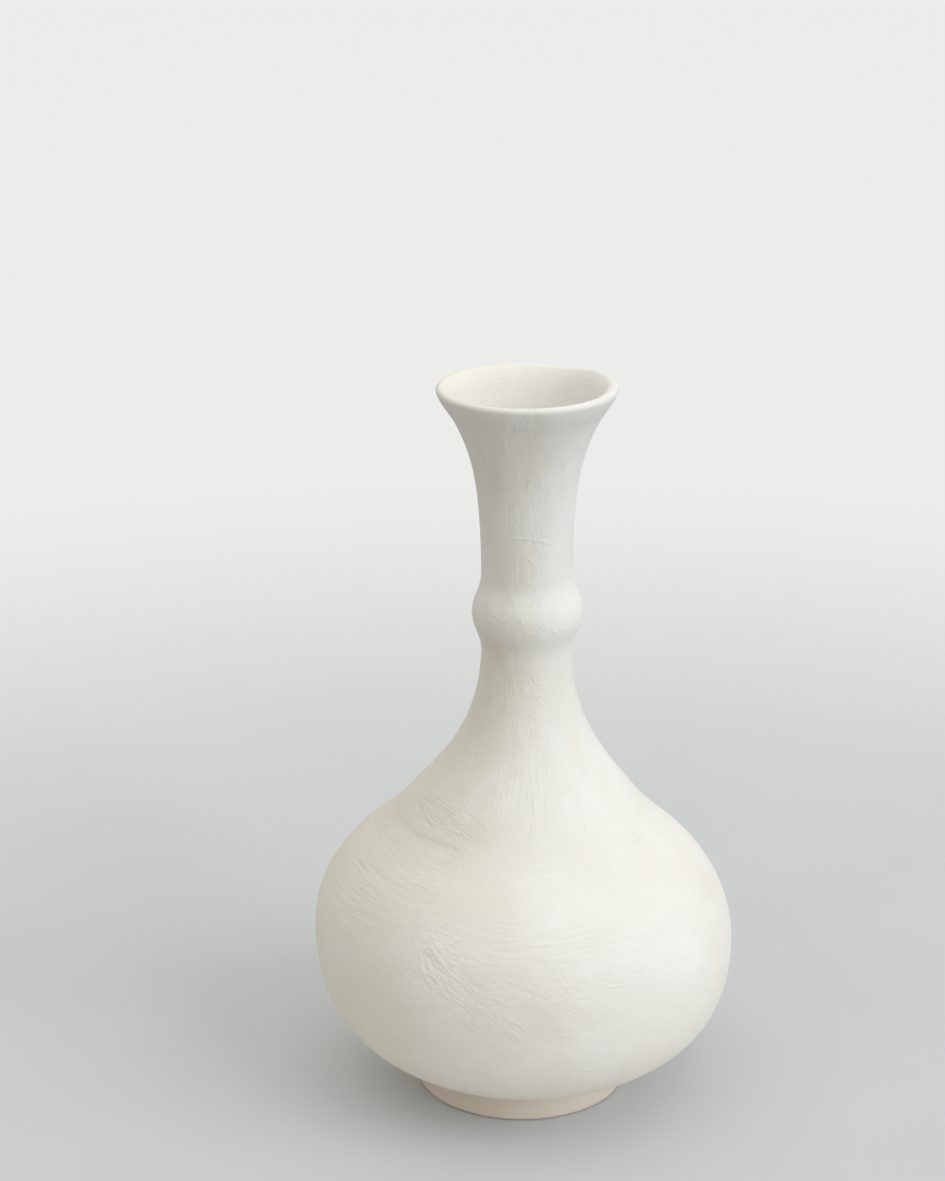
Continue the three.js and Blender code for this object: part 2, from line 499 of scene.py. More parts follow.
for name, node in {
    "thrown_bowl": "body_bowl",
    "thrown_cone": "neck_cone",
    "thrown_knop": "neck_knop",
    "thrown_trumpet": "trumpet_neck",
}.items():
    section = turn(name, section_of(node), CLAY_COLUMNS)
    lean(section)
    finish_piece(section, bisque, "bare_bisque", node)

# %% Slip rings
for name, node in {
    "slip_at_foot": "foot_slip",
    "slip_at_shoulder": "shoulder_slip",
    "slip_under_knop": "lower_knop_slip",
    "slip_over_knop": "upper_knop_slip",
}.items():
    seam = turn(name, section_of(node), CLAY_COLUMNS)
    lean(seam)
    finish_piece(seam, slip, "dried_slip", node)

# %% [markdown]
# ## The bare foot
# The foot is a plain ring, turned with a tool while the vase stood upside down, and left without coat. A
# tool's tip leaves rings of a few hundredths of a millimetre and the hand a slightly oval edge. The CAD
# section is filled up with closely spaced points first, so that these can be moved in the mesh. On the
# right a thin wash of the coat has run down over it, and there the foot is also painted paler as painted
# light from the right. This is kept as an attribute for the material.

# %% Foot
FOOT_COLUMNS = 300
FOOT_ROW = 0.4
OUTER_WALL_FROM = 41
TOOL_STEP = 0.55
TOOL_DEPTH = 0.025
random = np.random.default_rng(7)


def filled_up(outline, spacing):
    """The same closed outline with points at most a given way apart."""
    filled = []
    for here, there in zip(outline, np.roll(outline, -1, axis=0)):
        steps = max(1, math.ceil(np.hypot(*(there - here)) / spacing))
        filled.extend(here + (there - here) * i / steps for i in range(steps))
    return np.array(filled)


foot = turn("turned_foot", filled_up(section_of("foot_ring"), FOOT_ROW), FOOT_COLUMNS)
points = points_of(foot)
radius = np.hypot(points[:, 0], points[:, 1])
outer = ramp(radius - OUTER_WALL_FROM)
angle = np.radians(angle_of(points))
tool_heights = np.arange(0, 13, TOOL_STEP)
tool_depths = random.normal(0, TOOL_DEPTH, len(tool_heights))
tool_marks = smooth_through(points[:, 2], tool_heights, tool_depths)
oval = 0.12 * np.cos(2 * angle + 0.6) + 0.06 * np.cos(5 * angle + 2)
points[:, :2] *= (1 + outer * (tool_marks + oval) / radius)[:, None]
move_points(foot, points)
# On the right the foot is paler partly from the wash and partly as painted light.
run_down_and_lit_right = ramp((points[:, 2] - 2) / 7) * ramp((np.cos(angle) + 0.15) / 0.6)
at_the_edge = ramp((points[:, 2] - 10) / 2)
keep(foot.data, "wash_and_lit_side", np.maximum(0.75 * run_down_and_lit_right, 0.5 * at_the_edge))
lean(foot)
finish_piece(foot, bisque, "bare_bisque", "foot_ring")

# %% [markdown]
# ## The outline of the coat
# The coat is a skin 0.6 mm thick from the edge of the foot up over the lip and a little way down the
# throat. Its CAD section gives the face and the back in one ring. The face is run through a smooth curve,
# and the bends above and below the knop are rounded a little, as a wet sponge does it. Then the curve is
# measured along its length, because brush marks are laid on the surface by distance and not by height.
# The direction that points out of the surface is kept with it.

# %% Coat outline
OUTLINE_POINTS = 8000
SPONGE = 141

ring = section_of("brushed_coat")
face, back = ring[: len(ring) // 2], ring[len(ring) // 2 :][::-1]
COAT_THICKNESS = np.hypot(*(face[0] - back[0]))

chord = np.concatenate([[0], np.cumsum(np.hypot(*np.diff(face, axis=0).T))])
fine = np.linspace(0, chord[-1], OUTLINE_POINTS)
outline_radius = smooth_through(fine, chord, face[:, 0])
outline_height = smooth_through(fine, chord, face[:, 1])
outside = slice(0, int(np.argmax(outline_height)) + 1)

sponge = np.hanning(SPONGE) / np.hanning(SPONGE).sum()
rounded = np.convolve(outline_radius, sponge, "same")
on_neck = ramp((outline_height - 130) / 20) * ramp((270 - outline_height) / 20)
outline_radius[outside] += (on_neck * (rounded - outline_radius))[outside]

steps = np.hypot(np.diff(outline_radius), np.diff(outline_height))
outline_along = np.concatenate([[0], np.cumsum(steps)])
outline_out = np.gradient(outline_height, outline_along)
outline_up = -np.gradient(outline_radius, outline_along)
FULL_WAY = outline_along[-1]


def along_at(height):
    """How far along the outside a height lies, in mm from the edge of the foot."""
    return np.interp(height, outline_height[outside], outline_along[outside])


# %% [markdown]
# ## A map of the coat
# Brush marks overlap: a later stroke wipes away part of an earlier one. Modelling each as its own strip
# of mesh would never close up, and a texture alone has no depth at the edges. So the coat is unrolled
# into a map of heights, like a sheet of paper round the vase, and strokes are painted on it one after
# another. A second map keeps how thick the white lies, and later painted shade and light as well. Three
# more keep which way the last brush went: how far across it and along it a place lies, and how hard its
# bristles pressed.

# %% Empty maps
MAP_STEP = 0.45
COLUMNS = 1200

row_along = np.arange(0, FULL_WAY + MAP_STEP, MAP_STEP)
row_radius = np.interp(row_along, outline_along, outline_radius)
row_height = np.interp(row_along, outline_along, outline_height)
column_angle = np.arange(COLUMNS) * 360 / COLUMNS
relief = np.zeros((len(row_along), COLUMNS))
white = np.zeros_like(relief)
brush_across = np.zeros_like(relief) + row_along[:, None]
brush_run = np.radians(column_angle)[None, :] * row_radius[:, None]
brush_press = np.full_like(relief, 0.1)


def near(angle, along, reach_around, reach_along):
    """The part of the maps round a place, with each point's way round and along from it in mm."""
    rows = np.flatnonzero(np.abs(row_along - along) <= reach_along)
    away = (column_angle - angle + 180) % 360 - 180
    columns = np.flatnonzero(np.abs(away) <= np.degrees(reach_around / row_radius[rows].min()))
    round_it = np.radians(away[columns])[None, :] * row_radius[rows][:, None]
    return np.ix_(rows, columns), round_it, (row_along[rows] - along)[:, None]


def radius_at(along):
    return np.interp(along, row_along, row_radius)


print("map of", relief.shape, "points,", MAP_STEP, "mm apart")

# %% [markdown]
# ## A stroke of the brush
# A flat bristle brush leaves fine furrows, one to two millimetres apart, which fade out at its sides and
# at a ragged end where single bristles lift off. A stroke is drawn in its own straight coordinates, along
# and across, and then blended over what is already there. Real furrows are only a few hundredths of a
# millimetre deep, and they show because the light comes from the side.

# %% Stroke and ridge
BRISTLE = 0.6
FULL_PRESS = 0.03
COMB_STEP = 1.3
FINE = 0.4


def heading(slant):
    return math.cos(math.radians(slant)), math.sin(math.radians(slant))


def stroke(angle, along, slant, length, width, depth, wipe=0.75):
    bend = random.normal(0, 0.04) * length
    c, s = heading(slant)
    block, round_it, up = near(angle, along, abs(c) * length / 2 + width, abs(s) * length / 2 + width)
    run = round_it * c + up * s
    across = up * c - round_it * s + bend * (2 * run / length) ** 2
    across = across + 0.4 * np.sin(run / 9 + random.uniform(0, 6))
    bristles = np.arange(-width / 2 - 2, width / 2 + 2, BRISTLE)
    furrows = smooth_through(across, bristles, random.laplace(0, 1, len(bristles)))
    ragged = smooth_through(across, bristles, random.uniform(0, 0.22, len(bristles)) * length)
    ends = ramp((length / 2 - ragged - np.abs(run)) / (0.25 * length))
    sides = ramp((width / 2 - np.abs(across)) / 2.2)
    mask = ends * sides
    relief[block] = relief[block] * (1 - wipe * mask) + mask * depth * furrows
    load = random.normal(0, 1) + 0.2 * furrows
    white[block] = white[block] * (1 - 0.6 * mask) + 0.6 * mask * load
    fresh = mask > 0.5
    brush_across[block] = np.where(fresh, across + random.uniform(0, 500), brush_across[block])
    brush_run[block] = np.where(fresh, run + random.uniform(0, 500), brush_run[block])
    press = min(depth / FULL_PRESS, 1) * ramp(2 * mask - 1)
    brush_press[block] = np.where(fresh, press, brush_press[block])


def line(angle, along, slant, length, rise, bow=0, half_width=0.45):
    """A single fine line, raised or sunken, with its middle at a place on the map."""
    c, s = heading(slant)
    room = 3 + abs(bow)
    block, round_it, up = near(angle, along, abs(c) * length / 2 + room, abs(s) * length / 2 + room)
    run = round_it * c + up * s
    waver = 0.12 * np.sin(run / 2.3 + random.uniform(0, 6))
    waver = waver + 0.08 * np.sin(run / 0.9 + random.uniform(0, 6))
    across = up * c - round_it * s + bow * ((2 * run / length) ** 2 - 1) + waver
    fade = ramp((length / 2 - np.abs(run)) / (0.3 * length))
    uneven = 0.85 + 0.25 * np.sin(run / 1.9 + random.uniform(0, 6))
    relief[block] += rise * fade * uneven * bell(across / half_width)


def ridge(from_angle, from_height, to_angle, to_height, rise, bow=0):
    """A fine line between two places, given by angle and height."""
    low, high = along_at(from_height), along_at(to_height)
    middle = (low + high) / 2
    around = math.radians(to_angle - from_angle) * radius_at(middle)
    slant = math.degrees(math.atan2(high - low, around))
    length = math.hypot(around, high - low)
    line((from_angle + to_angle) / 2, middle, slant, length, rise, bow)


def comb(angle, height, slant, length, count, rise):
    """Parallel lines, as a row of stiff bristles leaves them."""
    c, s = heading(slant)
    along = along_at(height)
    radius = radius_at(along)
    bow = random.normal(0, 0.012) * length
    for i in range(count):
        across = COMB_STEP * (i - (count - 1) / 2) + random.normal(0, 0.1)
        own_length = random.uniform(0.6, 1) * length
        run = random.uniform(-0.5, 0.5) * (length - own_length)
        around, up = run * c - across * s, run * s + across * c
        sign = random.choice([-1, -1, 1])
        line(
            angle + math.degrees(around / radius), along + up, slant + random.normal(0, 1),
            own_length, sign * random.uniform(0.6, 1) * rise, bow,
        )


def field(angle, height, around, up, slant, scatter, count, length, rise):
    """Single lines strewn over a patch, as a nearly dry brush leaves them."""
    along = along_at(height)
    radius = radius_at(along)
    for _ in range(count):
        own_length = random.uniform(0.4, 1.2) * length
        line(
            angle + math.degrees(random.normal(0, around) / radius), along + random.normal(0, up),
            random.normal(slant, scatter), own_length,
            random.choice([-1, 1]) * random.uniform(0.5, 1) * rise,
            random.normal(0, 0.02) * own_length, FINE,
        )


# %% [markdown]
# ## Brushing the body
# The body was coated while it turned slowly, so most strokes run level round it. Some were crossed on the
# slant to cover bare places, which leaves a fan of ridges on the front and short hatching below it. First
# the whole body is covered at random, most of it with a light hand. Then come the marks that stand out in
# front: lightly pressed strokes, and fields of single lines where the brush was nearly dry.

# %% Level strokes all round
SHOULDER = 121

for _ in range(420):
    along = random.uniform(-5, along_at(SHOULDER) + 4)
    stroke(
        random.uniform(0, 360), along, random.normal(0, 7), random.uniform(28, 70),
        random.uniform(9, 17), 0.003 + 0.015 * random.uniform(0, 1) ** 2,
    )
for _ in range(60):
    stroke(
        random.uniform(0, 360), along_at(random.uniform(30, 110)), random.choice([-40, -30, 25]),
        random.uniform(14, 30), random.uniform(6, 10), random.uniform(0.006, 0.014),
    )
for _ in range(150):
    comb(
        random.uniform(0, 360), random.uniform(25, 118), random.normal(0, 6), random.uniform(14, 40),
        random.integers(5, 10), random.uniform(0.015, 0.045),
    )
print("body relief up to", round(np.abs(relief).max(), 3), "mm")

# %% Pressed strokes on the front
for angle, height, slant, length, width, depth in [
    (219, 114, 0, 38, 9, 0.011),
    (222, 107, -2, 34, 8, 0.013),
    (211, 97, 2, 40, 13, 0.013),
    (208, 90, 2, 32, 10, 0.011),
    (240, 88, -48, 20, 7, 0.015),
    (247, 88, -34, 26, 9, 0.015),
    (252, 91, -12, 24, 8, 0.013),
    (256, 80, -36, 24, 8, 0.013),
    (270, 78, -20, 26, 10, 0.01),
    (276, 98, 5, 42, 9, 0.009),
    (284, 93, 6, 38, 9, 0.01),
    (300, 88, 2, 34, 8, 0.008),
    (312, 107, -3, 30, 8, 0.006),
    (285, 80, 5, 30, 10, 0.011),
    (266, 62, -40, 18, 9, 0.011),
    (280, 60, -36, 14, 7, 0.01),
    (250, 64, -30, 22, 9, 0.009),
]:
    stroke(angle, along_at(height), slant, length, width, depth, wipe=0.6)
# angle, height, spread around and up, slant, scatter of the slant, count, length, rise
for patch in [
    (203, 104, 9, 6, 0, 2, 50, 20, 0.07),
    (216, 107, 11, 6, -1, 2, 90, 26, 0.07),
    (212, 95, 11, 5, 1, 2, 70, 24, 0.07),
    (228, 86, 9, 4, -20, 7, 50, 11, 0.06),
    (247, 78, 9, 5, -28, 8, 90, 10, 0.08),
    (261, 71, 8, 4, -26, 8, 70, 9, 0.08),
    (267, 61, 4, 3, -34, 4, 26, 9, 0.08),
    (280, 60, 5, 3, -32, 4, 24, 8, 0.07),
    (266, 100, 9, 3, 2, 3, 40, 18, 0.08),
    (282, 95, 16, 4, 5, 2, 120, 22, 0.1),
    (298, 92, 10, 4, 4, 2, 40, 18, 0.08),
    (276, 79, 13, 6, 2, 14, 220, 5, 0.1),
]:
    field(*patch)
print("pressed strokes and fields of lines on the front")

# %% The fan
FAN_ANGLE = 239.5
FAN_HEIGHT = 91.5
FAN_RADIUS = 80

for slant in np.linspace(-62, 8, 130):
    length = random.uniform(5, 16)
    out = random.uniform(0, 15) + length / 2
    c, s = heading(slant)
    around, up = c * out + random.normal(0, 2), s * out + random.normal(0, 2)
    line(
        FAN_ANGLE + math.degrees(around / FAN_RADIUS), along_at(FAN_HEIGHT) + up,
        slant + random.normal(0, 5), length, random.choice([-1, 1]) * random.uniform(0.05, 0.11),
        random.normal(0, 0.05) * length, FINE,
    )
# from angle and height, to angle and height, rise, bow
for mark in [
    (237.4, 93.8, 243.4, 83.2, 0.1, -0.7),
    (241.6, 85.6, 249.0, 78.0, 0.09, 0.3),
    (237.0, 93.7, 249.6, 89.6, 0.09, 0.4),
    (243.0, 96.0, 249.8, 94.0, -0.08, -0.4),
    (244.2, 92.6, 257.4, 93.6, -0.08, -0.5),
    (241.0, 88.4, 250.4, 78.6, -0.07, 0.5),
    (242.8, 83.4, 248.6, 76.2, 0.07, 0.2),
    (244.0, 86.3, 254.0, 82.0, 0.08, -0.3),
    (245.6, 86.8, 259.0, 72.4, -0.08, 0.6),
    (247.2, 85.9, 261.4, 89.1, 0.1, 0.4),
    (248.2, 85.4, 263.0, 86.7, -0.1, 0.3),
    (234.6, 91.8, 236.9, 86.8, -0.07, 0.2),
    (235.8, 94.2, 237.8, 91.0, -0.07, 0),
    (256.6, 101.5, 274.2, 102.7, -0.06, -0.3),
    (264.4, 96.8, 286.0, 99.4, -0.07, -0.5),
    (271.6, 92.3, 283.0, 95.4, -0.08, 0.3),
]:
    ridge(*mark)
print("fan of lines from", FAN_ANGLE, "degrees,", FAN_HEIGHT, "mm up")

# %% [markdown]
# ## Brushing the neck
# The cone and the trumpet are too slender for level strokes, so the brush went up and down there. Long
# narrow strokes lie side by side, close to upright, and one of them ended in an arched edge above the
# knop. Inside the mouth the brush was turned round the wall, and short upright lines lead up to the lip.
# On the left of the shoulder slanted strokes then cover the change from level to upright, in front
# upright lines run down to it, and short crossed lines roughen the knop and the neck on both sides of it.

# %% Upright strokes and the mouth
UNDER_KNOP = 190.8
OVER_KNOP = 220
LIP_TOP = 300

for low, high, count in [(SHOULDER + 10, UNDER_KNOP, 330), (OVER_KNOP, LIP_TOP - 3, 260)]:
    for _ in range(count):
        stroke(
            random.uniform(0, 360), along_at(random.uniform(low, high)), 90 + random.normal(0, 6),
            random.uniform(16, 45), random.uniform(4, 9), 0.004 + 0.012 * random.uniform(0, 1) ** 2,
        )
for _ in range(90):
    stroke(
        random.uniform(0, 360), random.uniform(along_at(LIP_TOP) + 6, FULL_WAY), random.normal(0, 5),
        random.uniform(20, 45), random.uniform(6, 10), random.uniform(0.004, 0.011),
    )
for _ in range(170):
    line(
        random.uniform(0, 360), along_at(LIP_TOP) + random.uniform(-12, -6), 90 + random.normal(0, 7),
        random.uniform(5, 11), random.choice([-1, 1]) * random.uniform(0.02, 0.05),
    )
for low, high in [(SHOULDER + 16, UNDER_KNOP - 6), (OVER_KNOP + 6, LIP_TOP - 18)]:
    for _ in range(90):
        comb(
            random.uniform(0, 360), random.uniform(low, high), 90 + random.normal(0, 7),
            random.uniform(7, 22), random.integers(3, 6), random.uniform(0.02, 0.05),
        )
for mark in [
    (241, 242, 308, 238.6, 0.2, 2.2),
    (242, 240.8, 307, 237.4, -0.13, 2.2),
    (266, 236, 284, 229.4, 0.16, 0.8),
    (269, 184.8, 293, 177.2, -0.16, 0.4),
    (262, 181, 283, 175, 0.11, 0.3),
    (245, 116.7, 246.5, 114.1, -0.12, 0),
    (262, 262, 264, 252, 0.12, 0.3),
    (279, 262, 278.4, 254, 0.12, -0.3),
    (277, 256.5, 278, 245.6, -0.11, 0.2),
    (254, 277, 255.8, 270, -0.1, 0.3),
    (260.4, 272.5, 261.6, 266, 0.1, -0.2),
    (267.4, 293.5, 268.3, 285, -0.1, 0.2),
    (274, 292.5, 277.6, 277, -0.11, -0.5),
    (283, 273.5, 283, 263.5, 0.1, 0.3),
    (283.6, 287, 283.6, 279, 0.1, 0.3),
    (255.5, 287, 255.5, 279, -0.1, -0.3),
    (255.3, 235, 257, 226.5, 0.1, 0.2),
    (274.4, 233, 274.4, 222.5, -0.1, 0.2),
]:
    ridge(*mark)
print("neck relief up to", round(np.abs(relief[row_along > along_at(SHOULDER)]).max(), 3), "mm")

# %% Slanted strokes on the shoulder, short lines on the neck
for angle, height, slant, length, width in [
    (212, 131, -7, 40, 12),
    (226, 131, -9, 40, 12),
    (238, 127, -14, 28, 10),
]:
    stroke(angle, along_at(height), slant, length, width, 0.02)
for patch in [
    (212, 128, 8, 4, -7, 4, 40, 16, 0.06),
    (228, 127, 8, 4, -14, 6, 60, 13, 0.08),
    (236, 134, 7, 5, -24, 8, 40, 10, 0.07),
    (246, 127, 5, 5, -40, 14, 30, 7, 0.06),
    (268, 140, 11, 11, 90, 3, 70, 18, 0.06),
    (252, 211, 4, 6, 0, 40, 90, 2.5, 0.08),
    (274, 206, 5, 3, -12, 20, 30, 3, 0.08),
    (284, 178, 3, 5, -35, 15, 40, 4, 0.08),
    (258, 176, 4, 9, 80, 30, 80, 3.5, 0.07),
    (250, 231, 4, 7, 60, 40, 60, 3, 0.06),
]:
    field(*patch)
print("strokes over the shoulder and short lines on the neck")

# %% [markdown]
# ## The knop, the shoulder seam and the hand's unevenness
# The knop is a little lumpy, and thick slip on its upper half stops in a thin ragged edge near the
# middle. More of it lies in the bend above the knop, in some places more than in others. Where the cone
# meets the body, the shoulder dips in. On the left the coat didn't fill the dip, and a crease is left in
# it, steep above and gentle below. The whole wall also swells and sinks by a tenth of a millimetre or so.

# %% Knop and crease
KNOP = 206
BEND = 219


def lumps(count, wave_around, wave_along):
    """Smooth random waves over the maps, of about the given lengths in mm and of strength 1."""
    waves = np.zeros_like(relief)
    for _ in range(count):
        turns = round(random.normal(0, 1) * 2 * math.pi * row_radius.max() / wave_around)
        phase = np.radians(column_angle) * turns + random.uniform(0, 2 * math.pi)
        rise = row_along * random.normal(0, 1) * 2 * math.pi / wave_along
        waves += np.cos(phase[None, :] + rise[:, None])
    return waves * math.sqrt(2 / count)


def wander(size, columns_wide):
    """A random line round the vase, in mm, smoothed over a number of columns."""
    window = np.hanning(columns_wide) / np.hanning(columns_wide).sum()
    wave = np.convolve(np.tile(random.normal(0, size, COLUMNS), 3), window, "same")
    return wave[COLUMNS : 2 * COLUMNS]


outer_face = (row_along < along_at(LIP_TOP))[:, None]
knop_share = outer_face * bell((row_height - KNOP) / 11)[:, None]
edge_height = wander(2.5, 31) + smooth_through(
    (column_angle - 200) % 360, [0, 32, 52, 69, 91, 125, 180, 230, 290, 330, 360],
    [206, 208.6, 209.6, 208.6, 205.6, 202.5, 206, 203, 207, 205, 206],
)
above_edge = row_height[:, None] - edge_height[None, :]
crumbs = np.clip(wander(4, 15), 0, 1)[None, :] * bell((above_edge - 0.3) / 0.45)
shelf = ramp(above_edge / 0.55 + 0.5) * ramp((BEND + 3 - row_height)[:, None] / 10)
relief += knop_share * (0.11 * shelf + 0.2 * crumbs + 0.05 * lumps(30, 60, 24))

over_knop = outer_face * bell((row_height - BEND) / 2.6)[:, None]
relief += over_knop * np.clip(0.2 + wander(1, 201), 0, 0.4)[None, :]

crease_depth = smooth_through(
    column_angle, [0, 150, 190, 208, 222, 233, 238, 242, 360],
    [0, 0, 0.2, 0.4, 0.52, 0.56, 0.44, 0, 0],
)
crease_depth *= 1 + wander(0.8, 21)
dip_depth = smooth_through(
    column_angle, [0, 120, 210, 238, 252, 280, 360], [0.04, 0.06, 0.14, 0.12, 0.05, 0.02, 0.04]
)
crease_at = along_at(SHOULDER) + 0.5 * lumps(12, 120, 1e6)
from_crease = row_along[:, None] - crease_at
steep_width = smooth_through(column_angle, [0, 190, 220, 245, 360], [3.6, 3.6, 1.4, 1.4, 3.6])
steep_side = bell(np.maximum(from_crease, 0) / steep_width[None, :])
gentle_side = np.exp(np.minimum(from_crease, 0) / 4)
relief -= crease_depth[None, :] * steep_side * gentle_side
relief -= dip_depth[None, :] * bell(from_crease / 6)

girth = (row_radius / row_radius.max())[:, None]
relief += girth * (0.08 * lumps(40, 90, 80) + 0.02 * lumps(60, 24, 20))
print("relief from", round(relief.min(), 2), "to", round(relief.max(), 2), "mm")

# %% [markdown]
# Small things finish the surface: flecks of dry coat, most of them in three patches on the front, a pit
# in the knop and a lump beside a hollow on its left.

# %% Flecks and lumps
DEEPEST = -0.54
HIGHEST = 0.6


def fleck(angle, height, rise, size):
    block, round_it, up = near(angle, along_at(height), 3 * size, 3 * size)
    relief[block] += rise * np.exp(-(round_it**2 + up**2) / size**2)


for angle, height, rise, size in [
    (264.9, 41.6, 0.1, 0.5),
    (274.5, 42, 0.1, 0.5),
    (268, 46, 0.05, 0.45),
    (317, 211.9, -0.3, 0.7),
    (221, 214.5, 0.22, 5),
    (238, 218, -0.14, 5),
]:
    fleck(angle, height, rise, size)
for _ in range(70):
    fleck(
        random.uniform(0, 360), random.uniform(20, 180), random.uniform(0.02, 0.06),
        random.uniform(0.4, 0.55),
    )
for middle, height, count in [(279, 80, 240), (256, 82, 160), (268, 66, 120)]:
    for _ in range(count):
        fleck(
            random.normal(middle, 8), random.normal(height, 7), random.normal(0, 0.028),
            random.uniform(0.4, 0.6),
        )
relief = np.clip(relief, DEEPEST, HIGHEST)
print("flecks added, relief kept above", DEEPEST, "mm")

# %% [markdown]
# The lip isn't the same all round either: on the right its inner side is about a millimetre thicker.

# %% Thick part of the lip
LIP_EXTRA = 1.1

past_lip = row_along - along_at(LIP_TOP)
inside_lip = ramp(past_lip / 2.5) * ramp((along_at(LIP_TOP) + 16 - row_along) / 12)
on_right = ramp(1 - np.abs((column_angle + 12 + 180) % 360 - 180) / 75)
relief += LIP_EXTRA * inside_lip[:, None] * on_right[None, :]
print("lip up to", round(LIP_EXTRA * inside_lip.max(), 1), "mm thicker")

# %% [markdown]
# ## The white of the coat
# Where the coat lies thin the warm clay shines through and the white turns to cream. The map of the white
# also holds painted shade and light: creamier towards the foot and under the knop, partly thin coat and
# partly painted shade; creamier on the left and on the left inside the mouth, as painted shade; creamier
# in the furrows and whiter on ridges, partly thin coat and partly painted shade and highlight; whiter up
# the neck, as painted light; and single cream patches, on the left also painted shade. It is built from
# those places, from each stroke's load and from the relief, and it goes to the shader as an attribute. So
# does a painted grey shade inside the mouth.

# %% Thickness of the white
MOUTH_SHADE = 0.4

# Creamier towards the foot and in a band under the knop: partly thin coat, partly painted shade on these
# downward parts.
thin_and_shade_by_height = 0.4 * np.exp(-(row_height - 12) / 30) + 0.1 * bell((row_height - 182) / 16)
from_back = column_angle[None, :] + 9 * lumps(30, 140, 70) + 4 * lumps(40, 50, 30)
# Creamier on the left, the side away from the key light: painted shade.
left_shade_share = 0.26 * ramp((288 - from_back) / 70) * ramp((from_back - 80) / 70)
# Creamier just under the knop on its left: painted shade under the knop.
under_knop = bell((row_height - 195) / 6)[:, None] * bell((column_angle - 222) / 26)
# Each stroke's load, then the relief: creamier in furrows and the crease, whiter on ridges, partly thin
# coat and partly painted shade and highlight.
white = 0.88 + 0.025 * np.clip(white, -2, 2) + 0.5 * np.clip(relief, -0.1, 0.1)
# Whiter up the neck: painted light.
white += 0.08 * ramp((row_height - 150) / 60)[:, None]
below_knop = ramp((200 - row_height) / 20)[:, None]
painted_left_shade = (0.5 + 0.5 * below_knop) * left_shade_share
white -= outer_face * (thin_and_shade_by_height[:, None] + painted_left_shade + 0.22 * under_knop)
# Creamier on the left inside the mouth, the wall that faces the key light: painted shade.
white -= 0.2 * ~outer_face * ramp(0.5 - 0.7 * np.cos(np.radians(column_angle)))[None, :]
# Single cream patches; those on the left and under the knop are also painted shade.
for angle, height, around, along, less in [
    (236, 208, 15, 13, 0.18),
    (240, 186, 13, 13, 0.15),
    (238, 160, 16, 20, 0.1),
    (255, 232, 8, 10, 0.28),
    (278, 275, 5, 15, 0.3),
    (230, 262, 10, 24, 0.2),
    (258, 58, 16, 14, 0.15),
    (278, 62, 12, 6, 0.2),
    (248, 128, 8, 9, 0.1),
]:
    block, round_it, up = near(angle, along_at(height), 2 * around, 2 * along)
    white[block] -= less * np.exp(-((round_it / around) ** 2) - (up / along) ** 2)
white = np.clip(white + 0.03 * lumps(40, 60, 40), 0, 1)
# Greyer inside the mouth from just below the lip down: painted shade.
painted_mouth_shade = MOUTH_SHADE * ramp((past_lip - 1) / 8)
print("white between", round(white.min(), 2), "and", round(white.max(), 2))

# %% [markdown]
# The sides and the back were brushed in the same way as the front, so they get fields of fine lines at
# random places. They are drawn last: random numbers come in a fixed order, and drawing these earlier
# would shift every mark after them.

# %% Lines on the sides and the back
for _ in range(24):
    field(
        random.uniform(10, 185), random.uniform(45, 114), random.uniform(8, 14), random.uniform(3, 6),
        random.normal(0, 5), 3, 70, random.uniform(12, 26), random.uniform(0.07, 0.1),
    )
for _ in range(8):
    field(
        random.uniform(20, 180), random.uniform(50, 105), 8, 4, random.choice([-30, -20, 25]), 8,
        70, 10, 0.08,
    )
print("32 fields of lines on the sides and the back")

# %% [markdown]
# ## Brushed white coat
# A chalky white with little binder: quite matt, with a dry grain. The map of the white, with its painted
# shade and light, picks a colour between clay, cream and white, and a faint noise breaks it up. Painted
# shade inside the mouth greys it there. The bump has two parts: hair lines over half a millimetre wide
# that follow the last stroke, deeper where its brush pressed harder, and a grain like that of plaster all
# over. Lines that fine would need several million triangles as geometry.

# %% Coat material
CHALK_CLOUD = 9 * MM
CHALK_GRAIN = 0.8 * MM
HAIR_LINE = 0.6
HAIR_LENGTH = 12
CHALK_BUMP = 0.5 * MM
GRAIN_BESIDE_HAIRS = 0.28

chalk, tree, surface = matt_material("brushed_chalky_white", 0.85)
place = add_node(tree, "ShaderNodeTexCoord", {}, {})
thickness_and_shade = add_node(tree, "ShaderNodeAttribute", {"attribute_name": "white"}, {})
clouds = add_node(
    tree, "ShaderNodeTexNoise", {"Scale": 1 / CHALK_CLOUD, "Detail": 5},
    {"Vector": place.outputs["Object"]},
)
faint = add_node(
    tree, "ShaderNodeMapRange", {"To Min": -0.06, "To Max": 0.06}, {"Value": clouds.outputs["Fac"]}
)
broken = add_node(tree, "ShaderNodeMath", {}, {0: faint.outputs[0], 1: thickness_and_shade.outputs["Fac"]})
coat_colour = add_node(tree, "ShaderNodeValToRGB", {}, {0: broken.outputs[0]})
coat_colour.color_ramp.elements[0].color = linear("#CDC0B0")
coat_colour.color_ramp.elements[1].color = linear("#F4F4F2")
coat_colour.color_ramp.elements.new(0.3).color = linear("#E7E3D5")
coat_colour.color_ramp.elements.new(0.65).color = linear("#ECEAE2")
coat_colour.color_ramp.elements.new(0.88).color = linear("#F0F0EC")
